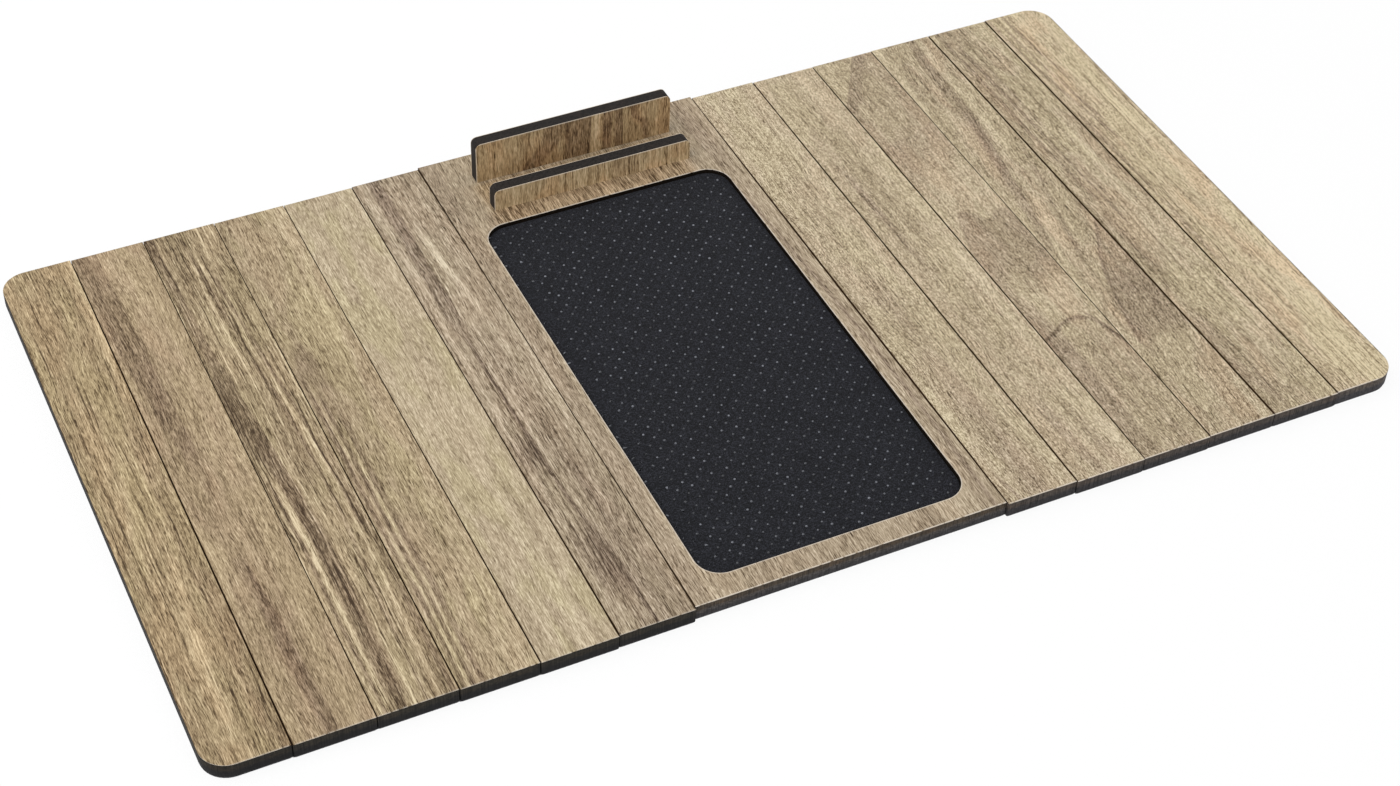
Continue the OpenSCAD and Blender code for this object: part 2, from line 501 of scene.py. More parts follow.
def flat_print(node, rose=0.3, olive=0.5, tint=(1, 1, 1), window=False, **look):
    """Dresses a flat facing, whose grain is placed in mm from its left side.

    Its sides are scorched, and its front end is pale: frayed paper, with a painted highlight
    on top. Rose and olive are the strengths of two broad changes of hue.
    """
    material, (x, y, z) = start(f"printed_{node}")
    low, high = (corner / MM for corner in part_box(node))
    width = high.x - low.x
    across = x - low.x
    tone, pores, ashen = grain(across, y, **look)
    wood = tone.ramp(*PRINT_TONES, tint=tint)
    hue = noise(across / 11.0 + look["seed"], y / 42.0, 9.5)
    wood = tinted(wood, hue.rise(0.48, 0.66) * rose, ROSE)
    wood = tinted(wood, (1.0 - hue).rise(0.44, 0.62) * olive, OLIVE)
    wood = tinted(wood, ashen.rise(0.0, 1.0), ASHEN)
    # Painted reflection of the holder's boards on the panel: an amber tint over that stretch
    if "drawn" in look:
        wood = tinted(wood, streak(across, y, **look["drawn"]), REFLECTION_AMBER)

    soot = noise(x / 2.2, y / 7.0, 4.0)
    wander = (soot - 0.5) * 0.3
    left_side, right_side = scorched_sides(node)
    left = scorched(across + wander, y, left_side)
    right = scorched(width - across + wander, y, right_side)
    wood = mix_colours(left.math("MAXIMUM", right), wood, SCORCHED_PAPER)
    # The pale front end is frayed paper and a painted highlight; the highlight is weaker on the left row
    fray_and_highlight = LEFT_FRAY_AND_HIGHLIGHT if node.startswith("left") else FRAY_AND_HIGHLIGHT
    frayed_and_highlit = (1.0 - (y - low.y + wander).rise(*FRAY_REACH)) * (soot.rise(0.3, 0.5) * fray_and_highlight)
    if window:
        frayed_and_highlit = frayed_and_highlit.math("MAXIMUM", window_rim(x, y) * (soot.rise(0.25, 0.45) * WINDOW_FRAY))
    wood = mix_colours(frayed_and_highlit, wood, PALE_PAPER)

    edge = mix_colours(soot.rise(0.3, 0.5), SCORCHED_PAPER, PALE_PAPER)
    off_side = across.math("MINIMUM", width - across)
    edge = mix_colours(off_side.rise(*LONG_SIDE), TOASTED_PAPER, edge)
    face = (z - top_z).rise(*BROAD_SIDE)
    finish_print(node, material, tone, pores, mix_colours(face, edge, wood))


PRINTS = {
    "left_facing_1": dict(
        seed=11.0, tone=0.545, contrast=0.58, lines=1.1, olive=0.3, tint=(1.0, 1.0, 1.055),
        streaks=[
            mark(-0.16, (BACK, 8.5), (124, 9), (86, 8), (40, 8), width=4.5, fades=(3, 1), tips=22),
            mark(0.2, (112, 16.5), (90, 17.5), (70, 20), (48, 21.5), width=1.8, fades=(0.8, 1.4)),
            mark(-0.16, (30, 9.5), (-60, 10.5), (-110, 14), (FRONT, 18), width=1.0, fades=(0.5, 0.7)),
            mark(0.1, (20, 12), (-60, 13), (-110, 17), (FRONT, 22), width=1.3),
            mark(0.07, (50, 24), (10, 24), (-30, 26), width=9, fades=(4, 1), tips=16),
            mark(-0.07, (-60, 22), (-110, 22), (FRONT, 24), width=9, fades=(4, 1), tips=22),
            mark(-0.12, (-36, 2), (-46, 2), (-58, 3), width=7, fades=(1, 5), tips=9),
            mark(-0.12, (-96, 3), (-118, 4), (-134, 6), width=12, fades=(2, 4), tips=12),
            mark(0.1, (BACK, 3), (0, 3), (FRONT, 4), width=0.8),
            mark(-0.065, (34, 11), (-60, 12), (FRONT, 12), width=9, fades=(4, 4), tips=16),
            mark(0.045, (34, 1), (0, 1), (-34, 1), width=8, fades=(1, 4), tips=12),
            mark(0.045, (34, 24), (0, 24), (-34, 24), width=9, fades=(4, 1), tips=12),
        ],
    ),
    "left_facing_2": dict(
        seed=23.0, tone=0.68, contrast=0.55, ticks=0.45, lines=0.4, rose=0.1, olive=1.0,
        streaks=[
            mark(-0.03, (48, 10), (30, 11), (14, 11), width=18, fades=(7, 5), tips=14),
            mark(-0.06, (-70, 12), (-120, 13), (FRONT, 15), width=2.5, fades=(1.5, 2)),
            mark(-0.05, (-50, 24), (-120, 25), (FRONT, 26), width=2.0, fades=(1.5, 2)),
            mark(-0.05, (-40, -1), (-100, -1), (FRONT, -1), width=8, fades=(1, 5), tips=30),
        ],
    ),
    "left_facing_3": dict(
        seed=37.0, tone=0.59, contrast=0.75, ticks=0.9, olive=0.9, tint=(1.0, 0.978, 0.93),
        streaks=[
            mark(-0.18, (40, 1.4), (-40, 1.8), (FRONT, 2.2), width=1.1),
            mark(0.13, (10, 3.4), (-50, 3.6), (FRONT, 4.2), width=0.7),
            mark(-0.18, (20, 5), (-60, 5.4), (FRONT, 6), width=1.0),
            mark(0.12, (-20, 7), (-90, 7.2), (FRONT, 8), width=0.8),
            mark(-0.12, (0, 8.6), (-90, 9), (FRONT, 10), width=1.2, fades=(0.6, 2)),
            mark(-0.1, (54, 2), (40, 3), (30, 3), width=7, fades=(2, 4), tips=10),
            mark(-0.07, (40, 22), (20, 24), (0, 26), width=6, fades=(5, 3), tips=12),
            mark(-0.06, (BACK, -1), (0, -1), (FRONT, -1), width=10, fades=(1, 5)),
            mark(-0.05, (60, 10), (0, 11), (-100, 12), width=9, fades=(4, 5), tips=24),
            mark(0.085, (BACK, 25), (0, 25), (FRONT, 25), width=12, fades=(7, 1)),
        ],
    ),
    "left_facing_4": dict(
        seed=41.0, tone=0.51, lines=1.8, wander=2.0, tint=(1.0, 0.978, 0.91),
        streaks=[
            mark(
                -0.14, (BACK, 0.5), (100, 2), (60, 3), (40, 0), (10, 1), (-10, 5.6), (-40, 8.2),
                (-100, 8), (FRONT, 6),
                other=[(BACK, 4.5), (100, 5), (40, 8.4), (0, 11.2), (-40, 12.8), (-90, 13.4), (FRONT, 11.5)],
                fades=(2.0, 0.7),
            ),
            mark(-0.1, (46, 0), (30, 0), (10, 2), width=7.5, fades=(1, 1), tips=8),
            mark(-0.1, (16, 5.5), (-30, 7.4), (-70, 8.4), width=4.4, fades=(1.5, 0.8), tips=14),
            mark(-0.075, (36, 13), (0, 14), (-30, 15), width=8, fades=(2, 4), tips=14),
            mark(0.09, (94, 27), (60, 28), (26, 30), width=8, fades=(2, 1), tips=12),
            mark(
                0.22, (136, 18.5), (100, 21.5), (60, 23), (20, 25.5), (-20, 28), (-60, 27.4),
                (-140, 26.6),
                width=0.7, fades=(0.5, 0.8),
            ),
            mark(-0.16, (120, 22), (60, 25), (0, 28.6), (-60, 29), width=1.0),
            mark(-0.12, (BACK, 15), (60, 20), (-20, 24), (-100, 21), (FRONT, 20), width=1.2),
            mark(0.2, (-30, 4.2), (-76, 4.8), (-120, 5.2), (FRONT, 4.2), width=1.8),
            mark(-0.18, (-20, 2.2), (-80, 2.8), (FRONT, 2.8), width=0.9),
            mark(-0.1, (-30, 9.4), (-90, 10), (FRONT, 8.4), width=4.5, fades=(0.8, 1.6), tips=24),
            mark(0.12, (-40, 25), (-70, 22.5), (-120, 20.5), (FRONT, 20), width=1.2),
            mark(0.12, (-50, 15), (-100, 16), (FRONT, 16), width=1.0),
            mark(-0.12, (20, 30.6), (-60, 31), (FRONT, 30.6), width=1.6),
            mark(-0.05, (-90, 24), (-120, 24), (FRONT, 24), width=9, fades=(3, 1), tips=12),
            mark(0.05, (-90, 14), (-120, 13), (FRONT, 12), width=9, fades=(1, 4), tips=12),
            mark(0.085, (-20, 0), (-60, 0), (FRONT, 0), width=7, fades=(0.5, 2), tips=16),
            mark(0.04, (-30, 13), (-90, 14), width=9, fades=(1, 4), tips=12),
            mark(0.05, (90, 22), (0, 24), (-36, 24), width=11, fades=(3, 1), tips=16),
        ],
    ),
    "left_facing_5": dict(
        seed=59.0, tone=0.55, contrast=0.65, ticks=0.7, rose=0.4, tint=(1.0, 0.946, 0.897),
        streaks=[
            mark(
                -0.11, (BACK, 1.5), (98, 2), (50, 6), (10, 11),
                other=[(BACK, 11.5), (98, 12), (50, 13), (10, 15)], fades=(3, 1.6), tips=14,
            ),
            mark(0.03, (70, 24), (50, 24), (-90, 24), width=9, fades=(3, 1)),
            mark(-0.06, (26, 1), (0, 2), (-34, 4), width=15, fades=(3, 6)),
            mark(
                -0.11, (-44, 8.5), (-80, 11), (-120, 13), (FRONT, 15.5),
                width=3.4, fades=(3, 1.6), tips=18,
            ),
            mark(-0.1, (-60, 12), (-100, 14), (FRONT, 18), width=0.8),
            mark(-0.08, (-84, 10), (-120, 12), (FRONT, 13), width=9, fades=(3, 4), tips=12),
            mark(0.06, (-36, 1), (-60, 1), (-84, 1), width=8, fades=(1, 3), tips=12),
            mark(-0.045, (96, 2), (60, 4), (26, 6), width=14, fades=(2, 4), tips=12),
        ],
    ),
    "left_facing_6": dict(
        seed=67.0, tone=0.545, contrast=0.8, lines=1.4, rose=0.55, olive=0.6,
        tint=(1.0, 0.952, 0.845),
        streaks=[
            mark(-0.03, (BACK, 8), (120, 10), (50, 14), width=16, fades=(8, 6), tips=24),
            mark(0.09, (124, 30), (90, 30), width=3, fades=(2, 1)),
            mark(-0.1, (44, 26.4), (-60, 27), (FRONT, 28), width=6, fades=(2.5, 1.5), tips=20),
            mark(0.045, (40, 12), (-60, 12), (FRONT, 12), width=8, fades=(4, 5), tips=24),
            mark(-0.06, (-90, -1), (-120, -1), (FRONT, -1), width=9, fades=(1, 4), tips=12),
            mark(0.04, (BACK, 24), (120, 24), (40, 24), width=12, fades=(4, 1), tips=16),
        ],
    ),
    "right_facing_1": dict(
        seed=73.0, tone=0.7, contrast=0.75, wander=5.0, fleck=SMOOTH_FLECK,
        streaks=[
            mark(-0.08, (0, 12), (-60, 13), (FRONT, 12), width=6, fades=(4, 4), tips=20),
            mark(-0.16, (-140, 3), (FRONT, 8), width=1.2),
            mark(0.055, (BACK, 1), (120, 1), (84, 1), width=19, fades=(1, 5), tips=16),
            mark(-0.05, (36, 1), (0, 1), (-50, 1), width=8, fades=(1, 4), tips=16),
            mark(-0.045, (-84, 10), (-120, 10), (FRONT, 10), width=12, fades=(3, 4), tips=14),
        ],
    ),
    "right_facing_2": dict(
        seed=83.0, tone=0.695, contrast=0.65, ticks=0.85, fleck=SMOOTH_FLECK, rose=0.35,
        streaks=[
            mark(-0.05, (110, 7), (60, 7), (10, 8), width=15, fades=(4, 4), tips=20),
            mark(-0.1, (75, 7), (36, 7.6), (-10, 9), width=1.4, fades=(1, 2)),
            mark(-0.09, (-108, 8), (-130, 9), (FRONT, 12), width=3, fades=(2, 3)),
            mark(-0.09, (-112, 20), (-130, 20), (FRONT, 22), width=3, fades=(2, 3)),
            mark(0.05, (BACK, 25), (0, 25), (FRONT, 25), width=12, fades=(6, 1)),
            mark(0.04, (96, 25), (60, 25), (26, 25), width=12, fades=(5, 1)),
            mark(-0.035, (60, -1), (-60, -1), (FRONT, -1), width=19, fades=(1, 6), tips=60),
        ],
    ),
    "right_facing_3": dict(
        seed=97.0, tone=0.68, contrast=0.4, ticks=0.8, wander=1.5, fleck=SMOOTH_FLECK, rose=0.6,
        streaks=[
            mark(
                -0.08, (BACK, 35), (156, 23), (138, 12), (118.5, 0), (90, -17), (80, -20),
                other=[(BACK, 40), (80, 40)], fades=(0.5, 1), tips=20,
            ),
            mark(0.06, (114, 5), (100, 6), (90, 8), width=9, fades=(4, 5), tips=8),
            mark(0.05, (52, 0), (40, 0), (20, 0), width=40, tips=9),
            mark(-0.06, (-76, -3), (-120, -3), (FRONT, -3), width=42, tips=5),
            mark(-0.09, (BACK, 35), (156, 23), (138, 12), (118.5, 0), (110, -6), width=5, fades=(0.5, 5)),
            mark(-0.2, (-65, 26.5), (-74, 30), (-92, 33.6), width=0.8, tips=3),
            mark(-0.085, (-52, -1), (-90, -1), (FRONT, -1), width=8, fades=(1, 5), tips=12),
            mark(-0.04, (90, -1), (60, -1), (26, -1), width=9, fades=(1, 4), tips=12),
            mark(-0.045, (-40, -1), (-60, -1), (-88, -1), width=9, fades=(1, 4), tips=9),
        ],
        contours=[
            contour(
                -0.12, 38.0, 22.0,
                (0, -10), (3, 4), (6.5, 15), (10.7, 23), (16, 19), (22, 13), (28, 18), (34, 16),
            ),
            contour(0.1, 4.0, 30.0, (0, -33), (9, -38), (17, -45), (27, -36), (34, -39)),
            contour(-0.25, 0.8, 3.6, (0, -73), (8, -69), (17, -64.6), (24, -65.4), (30, -75), (34, -85)),
            contour(-0.06, 22.0, 18.0, (0, 80), (8, 84), (20, 86), (34, 92)),
        ],
    ),
    "right_facing_4": dict(
        seed=101.0, tone=0.665, contrast=0.55, lean=9.0, wander=1.5, fleck=SMOOTH_FLECK, rose=0.7,
        streaks=[
            mark(0.12, (BACK, -1), (90, -1), other=[(BACK, 5.5), (90, 0.5)], fades=(0.5, 0.7)),
            mark(0.1, (96, -0.2), (-40, -0.2), (FRONT, -0.2), width=0.7, fades=(0.2, 0.4)),
            mark(-0.05, (BACK, 6.5), (120, 3.5), (96, 1), width=14, fades=(0.7, 4), tips=14),
            mark(
                -0.13, (BACK, 25), (130, 20), (98, 19), (60, 14), (30, 9), (0, 4), (-24, 0),
                width=3.2, fades=(3, 0.8),
            ),
            mark(
                0.1, (BACK, 29), (136, 25), (98, 24), (60, 20), (21, 14), (-10, 8),
                width=2, fades=(0.6, 3),
            ),
            mark(-0.1, (60, 31), (30, 25), (0, 18), (-34, 11), width=1.2, fades=(0.8, 1.6)),
            mark(
                -0.09, (10, 38), (-6, 34), (-19, 27.5), (-36, 19.5), (-52, 14), (-76, 8.5), (-94, 5),
                other=[(10, 60), (-94, 60)], fades=(0.6, 1), tips=11,
            ),
            mark(-0.08, (-48, 13), (-62, 11), (-88, 7), width=26, fades=(4, 3), tips=9),
            mark(
                -0.1, (-6, 33.4), (-19, 27.2), (-36, 19.2), (-52, 13.8), (-90, 5),
                width=1, fades=(0.4, 1.5),
            ),
            mark(-0.05, (96, 14), (60, 12), (26, 10), width=9, fades=(3, 3), tips=12),
        ],
    ),
    "right_facing_5": dict(
        seed=113.0, tone=0.665, contrast=0.85, lines=0.9, fleck=SMOOTH_FLECK, rose=0.6, olive=0.7,
        streaks=[
            mark(-0.02, (BACK, 2), (120, 4), (98, 6), width=13, fades=(1, 6), tips=16),
            mark(-0.13, (BACK, 4.5), (60, 6), (0, 8), width=0.9),
            mark(-0.13, (140, 9), (50, 11), (-20, 12), width=1.1),
            mark(-0.11, (120, 14), (0, 15), width=0.9),
            mark(-0.09, (-4, -1), (-40, 0), (-64, -1), width=6, fades=(1, 5), tips=16),
            mark(0.07, (60, 18), (-40, 19), (-120, 20), width=10, fades=(4, 4), tips=20),
            mark(-0.1, (-84, -1), (-110, -1), (FRONT, -1), width=9, fades=(1, 4), tips=12),
            mark(0.05, (BACK, 24), (90, 24), (30, 24), width=12, fades=(4, 1), tips=16),
        ],
    ),
    "right_facing_6": dict(
        seed=127.0, tone=0.8, contrast=0.75, lines=1.4, fleck=SMOOTH_FLECK, rose=0.8,
        tint=(1.0, 0.985, 0.945),
        streaks=[
            mark(-0.2, (BACK, 0.5), (110, 2.5), (78, 6), (48, 10), width=0.9, fades=(0.6, 1)),
            mark(-0.15, (150, 5.5), (98, 8), (56, 12), width=0.9),
            mark(-0.12, (60, 2), (30, 2.6), (-60, 3), width=1.0),
            mark(-0.08, (110, -2), (80, -2), (40, -2), width=6, fades=(1, 3)),
            mark(-0.07, (40, 16), (-80, 19), width=1.2, fades=(1, 2)),
            mark(-0.035, (BACK, -1), (40, -1), (FRONT, -1), width=8, fades=(1, 7), tips=20),
            mark(-0.1, (110, 32.6), (20, 32.8), (-60, 32.4), width=3, fades=(1.5, 1), tips=30),
            mark(0.04, (BACK, 18), (0, 19), (FRONT, 16), width=12, fades=(5, 3)),
            mark(-0.14, (BACK, 9), (130, 11), (96, 15), width=0.9),
            mark(0.05, (BACK, -1), (120, -1), (70, -1), width=9, fades=(1, 4), tips=16),
            mark(-0.05, (-60, -1), (-110, -1), (FRONT, -1), width=9, fades=(1, 4), tips=16),
            mark(0.04, (60, 24), (-40, 24), (FRONT, 24), width=8, fades=(4, 2), tips=24),
            mark(-0.045, (90, 10), (60, 11), (30, 12), width=11, fades=(3, 4), tips=14),
        ],
    ),
    "panel_facing": dict(
        seed=139.0, tone=0.64, contrast=0.75, ticks=0.9, olive=0.1, tint=(1.0, 1.0, 1.035), window=True,
        # Painted reflection of the holder's boards on the panel, by the holder
        drawn=dict(path=[(134, 24), (112, 24), (98, 24)], width=96, fades=(8, 8), tips=2),
        streaks=[
            mark(-0.07, (BACK, 0), (60, 1), (FRONT, 0), width=6, fades=(2, 3)),
            mark(-0.02, (BACK, 0), (124, 0), (108, 0), width=150, fades=(8, 8), tips=12),
            mark(-0.07, (-130, 30), (-150, 30), (FRONT, 30), width=84, fades=(8, 8), tips=8),
            # Painted shade on the panel in front of the holder's front board
            mark(-0.1, (112, 22), (104, 22), (98, 22), width=98, fades=(10, 10), tips=2),
            mark(-0.03, (BACK, 124), (124, 124), (96, 124), width=20, fades=(8, 2), tips=12),
            mark(-0.03, (90, 2), (-40, 2), (-150, 2), width=10, fades=(3, 3), tips=20),
            mark(-0.06, (BACK, 130), (40, 138), (FRONT, 138), width=5, fades=(3, 3)),
            mark(-0.1, (80, 136), (-40, 141), (FRONT, 142), width=1.2),
        ],
    ),
}

for node, look in PRINTS.items():
    flat_print(node, **look)


# ---- The anti-slip pad ----
# A thin black fabric, glued on the panel's lower board inside the window. Rows of
# small rubber dots are printed on it, each row set half a step to its neighbour.

PAD_CORNER = WINDOW_CORNER * MM
PAD_HEM = 0.45 * MM
CORNER_STEPS, HEM_STEPS = 10, 2
SHARP = math.radians(40)
WEAVE = 5.2
CREPE_RELIEF = 0.18
DOT_ROW = 3.7 * MM
DOT_STEP = 7.2 * MM
DOT_RADIUS = 0.56 * MM
DOT_HEIGHT = 0.35 * MM
DOT_MARGIN = 1.9 * MM
DOT_SIZES = (0.8, 1.15)
DOT_STRAY = 0.35
ROW_SWAY = 0.45 * MM
SWAY_ALONG, SWAY_ACROSS = 12 * MM, 8 * MM

pad_low, pad_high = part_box("anti_slip_pad")
pad_middle = (pad_low + pad_high) / 2
pad_size = pad_high - pad_low


def placed(name, data):
    """A new object in the scene."""
    made = bpy.data.objects.new(name, data)
    bpy.context.scene.collection.objects.link(made)
    return made


def object_from(name, mesh, material):
    """Turns a bmesh into an object with one material."""
    data = bpy.data.meshes.new(name)
    mesh.to_mesh(data)
    mesh.free()
    data.materials.append(material)
    return placed(name, data)


def piece_from(name, mesh, material):
    """Turns a bmesh into a piece with one material."""
    piece = object_from(name, mesh, material)
    return piece


def rounded(mesh, edges, width, segments):
    """Rounds edges of a mesh."""
    bmesh.ops.bevel(
        mesh, geom=edges, offset=width, segments=segments, profile=0.5, affect="EDGES", material=-1
    )


def slab(low, high, corner=0.0, corners=(-1, 1)):
    """A closed slab between two corners, with its upright edges rounded on chosen x sides."""
    mesh = bmesh.new()
    size = high - low
    middle = (low + high) / 2
    bmesh.ops.create_cube(mesh, size=1.0, matrix=Matrix.Translation(middle) @ Matrix.Diagonal((*size, 1.0)))
    upright = [
        edge
        for edge in mesh.edges
        if abs(edge.verts[0].co.z - edge.verts[1].co.z) > size.z / 2
        and math.copysign(1, edge.verts[0].co.x - middle.x) in corners
    ]
    if corner:
        rounded(mesh, upright, corner, CORNER_STEPS)
    return mesh


def soften(mesh, width):
    """Rounds every sharp edge of a slab by a little."""
    sharp = [edge for edge in mesh.edges if edge.calc_face_angle(0.0) > SHARP]
    rounded(mesh, sharp, width, HEM_STEPS)


cloth, (x, y, z) = start("anti_slip_fabric")
crepe = noise(x / 0.65, y / 0.65, z / 0.65, 3.0, 0.6)
worn = noise(x / 16.0, y / 16.0, z + 3.0)
threads = (x * WEAVE).math("SINE") * (y * WEAVE).math("SINE")
tone = (crepe - 0.5) * 3.0 + (worn - 0.5) * 0.25 + threads * 0.08 + 0.5
surface(
    cloth,
    crepe * 0.7 + threads * 0.3,
    CREPE_RELIEF,
    Base_Color=tone.ramp((0.0, (8, 8, 11)), (0.5, (22, 23, 28)), (1.0, (49, 50, 57))),
    Roughness=0.85,
    Specular_IOR_Level=0.12,
    Sheen_Weight=0.08,
    Sheen_Roughness=0.5,
)

pad_mesh = slab(pad_low, pad_high, PAD_CORNER)
soften(pad_mesh, PAD_HEM)
pad = piece_from("fabric_pad", pad_mesh, cloth)
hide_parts("anti_slip_pad")
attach(pad, "panel")

rubber, (x, y, z) = start("grip_dot_rubber")
each = noise(x / 3.1, y / 3.1, 9.0, 0.0)
surface(
    rubber,
    Base_Color=each.ramp((0.25, (32, 33, 37)), (0.5, (62, 64, 69)), (0.75, (116, 119, 127))),
    Roughness=0.42,
)


def copied(mesh, geometry, shift):
    """Adds a shifted copy of part of a mesh to it."""
    copy = bmesh.ops.duplicate(mesh, geom=geometry)["geom"]
    verts = [item for item in copy if isinstance(item, bmesh.types.BMVert)]
    bmesh.ops.translate(mesh, vec=shift, verts=verts)


dots = bmesh.new()
bmesh.ops.create_uvsphere(dots, u_segments=8, v_segments=6, radius=DOT_RADIUS)
whole = dots.verts[:] + dots.edges[:] + dots.faces[:]
bmesh.ops.bisect_plane(dots, geom=whole, plane_co=(0, 0, 0), plane_no=(0, 0, -1), clear_outer=True)
bmesh.ops.scale(dots, vec=(1, 1, DOT_HEIGHT / DOT_RADIUS), verts=dots.verts[:])
verts_in_dot = len(dots.verts)
columns = int(pad_size.x / 2 / DOT_STEP) + 1
rows = int(pad_size.y / 2 / DOT_ROW)
first_dot = dots.verts[:] + dots.edges[:] + dots.faces[:]
for column in range(1, 2 * columns + 1):
    copied(dots, first_dot, (column * DOT_STEP, 0, 0))
first_row = dots.verts[:] + dots.edges[:] + dots.faces[:]
for row in range(1, 2 * rows + 1):
    copied(dots, first_row, (0.5 * (row % 2) * DOT_STEP, row * DOT_ROW, 0))
corner = Vector((pad_middle.x - columns * DOT_STEP, pad_middle.y - rows * DOT_ROW, pad_high.z))

# Each dot lies a little off its place, and none is printed on the pad's hem
dots.verts.ensure_lookup_table()
rng = random.Random(5)
off_pad = []
for first in range(0, len(dots.verts), verts_in_dot):
    dot = dots.verts[first : first + verts_in_dot]
    middle = sum((vert.co for vert in dot), Vector()) / verts_in_dot
    middle.z = 0
    centre = middle + corner
    centre.x += ROW_SWAY * math.sin(centre.y / SWAY_ALONG) + rng.uniform(-DOT_STRAY, DOT_STRAY) * MM
    centre.y += ROW_SWAY * math.sin(centre.x / SWAY_ACROSS) + rng.uniform(-DOT_STRAY, DOT_STRAY) * MM
    size = rng.uniform(*DOT_SIZES)
    for vert in dot:
        vert.co = centre + (vert.co - middle) * size
    beside = abs(centre.x - pad_middle.x) - (pad_size.x / 2 - PAD_CORNER)
    beyond = abs(centre.y - pad_middle.y) - (pad_size.y / 2 - PAD_CORNER)
    if math.hypot(max(beside, 0), max(beyond, 0)) > PAD_CORNER - DOT_MARGIN:
        off_pad += dot
bmesh.ops.delete(dots, geom=off_pad)
for face in dots.faces:
    face.smooth = True
grip_dots = piece_from("grip_dots", dots, rubber)
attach(grip_dots, "panel")


# ---- The phone holder ----
# Two upright boards of the same stock, faced on both sides with a browner part of the
# print whose grain stands upright. Their tabs are glued into the panel's mortises.

HOLDER_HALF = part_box("holder_back_board")[1].x / MM
HOLDER_CHAR = ((58, 53, 50), (50, 46, 44), 18.0, 8.0)
PALE_RIM, PALE_SHARE = (0.15, 0.5), 0.6
HOLDER_TONES = (
    (0.0, (80, 62, 44)),
    (0.25, (128, 106, 76)),
    (0.5, (170, 146, 110)),
    (0.75, (200, 176, 138)),
    (1.0, (226, 204, 168)),
)
UP, DOWN = 60.0, -30.0

for board, seed in (("holder_back_board", 151.0), ("holder_front_board", 163.0)):
    dress(board, charred(f"charred_{board}", seed, *HOLDER_CHAR), EASED_BOARD)


def upright_print(node, **look):
    """Dresses a facing that stands upright, with pale paper along its left end and top."""
    material, (x, y, z) = start(f"printed_{node}")
    across = x + HOLDER_HALF
    tone, pores, ashen = grain(across, z, **look)
    wood = tone.ramp(*HOLDER_TONES)
    hue = noise(across / 9.0 + look["seed"], z / 20.0, 9.5, 1.0)
    wood = tinted(wood, hue.rise(0.46, 0.66), ROSE)
    wood = tinted(wood, ashen.rise(0.0, 1.2), ASHEN)
    below_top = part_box(node)[1].z / MM - z
    rim = across.math("MINIMUM", below_top).rise(*PALE_RIM)
    finish_print(node, material, tone, pores, mix_colours((1.0 - rim) * PALE_SHARE, wood, PALE_PAPER))


upright_print(
    "holder_back_facings",
    seed=171.0, tone=0.55, wander=1.0,
    streaks=[
        mark(-0.2, (UP, 36), (29, 37), (7, 24), (DOWN, 12), width=7, fades=(3, 5)),
        mark(-0.24, (UP, 50), (DOWN, 47), width=11, fades=(4, 1.2)),
        mark(0.2, (UP, 63), (DOWN, 62), width=2.2, fades=(0.6, 0.8)),
        mark(-0.3, (UP, 68), (DOWN, 66), width=3.4, fades=(0.8, 1.5)),
        mark(-0.26, (UP, 75.5), (16, 74), (DOWN, 77), width=3, fades=(2, 0.7)),
        mark(-0.22, (UP, 84), (26, 82), (18, 88), (DOWN, 90), width=1.4, fades=(0.5, 4)),
    ],
)
upright_print(
    "holder_front_facings",
    seed=183.0, tone=0.64, contrast=0.8, lines=1.2, wander=1.0,
    streaks=[
        mark(-0.12, (UP, 62), (DOWN, 66), width=9, fades=(5, 5)),
    ],
)


# ---- The felt backing ----
# One sheet of black needle felt, glued under panel and slats, which is the hinge at
# every seam. It is pressed thin along the seams, where it bends.

FELT_INSET = 0.3 * MM
FELT_RELIEF = 0.35
BEND = 1.2 * MM
CUTS = 4
CREASE = 0.3 * MM
ON_SEAM = 0.01 * MM
SLAT_CORNER = 12.0 * MM
HALF_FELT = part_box("panel_backing")[1].z / 2

felt, (x, y, z) = start("needle_felt")
fuzz = noise(x / 0.35, y / 0.35, z / 0.35, 3.0, 0.65)
clumps = noise(x / 2.4, y / 2.4, z / 2.4)
strands = noise(x / 0.25, y / 1.6, z / 0.25)
tone = fuzz + (clumps - 0.5) * 0.7 + (strands - 0.5) * 0.4
surface(
    felt,
    fuzz * 0.6 + clumps * 0.4,
    FELT_RELIEF,
    Base_Color=tone.ramp((0.0, (24, 24, 27)), (0.5, (44, 44, 48)), (1.0, (72, 72, 78))),
    Roughness=0.95,
    Specular_IOR_Level=0.08,
    Sheen_Weight=0.2,
    Sheen_Roughness=0.6,
)


def middle_x(node):
    """The x of a CAD node's middle."""
    low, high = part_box(node)
    return (low.x + high.x) / 2


def stretch(near, far, node, corner=0.0):
    """A stretch of the felt from one x to another, as deep as a backing node."""
    low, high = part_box(node)
    mesh = slab(
        Vector((min(near, far), low.y + FELT_INSET, low.z)),
        Vector((max(near, far), high.y - FELT_INSET, high.z)),
        corner,
        (math.copysign(1, far - near),),
    )
    return mesh, high.y - low.y - 2 * FELT_INSET


def laid(name, mesh):
    """The finished stretch, as a piece of felt."""
    piece = piece_from(name, mesh, felt)
    return piece


quarter_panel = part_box("panel_backing")[1].x / 2
mesh, depth = stretch(-quarter_panel, quarter_panel, "panel_backing")
centre_felt = laid("felt_under_panel", mesh)
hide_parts("panel_backing")
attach(centre_felt, "panel")

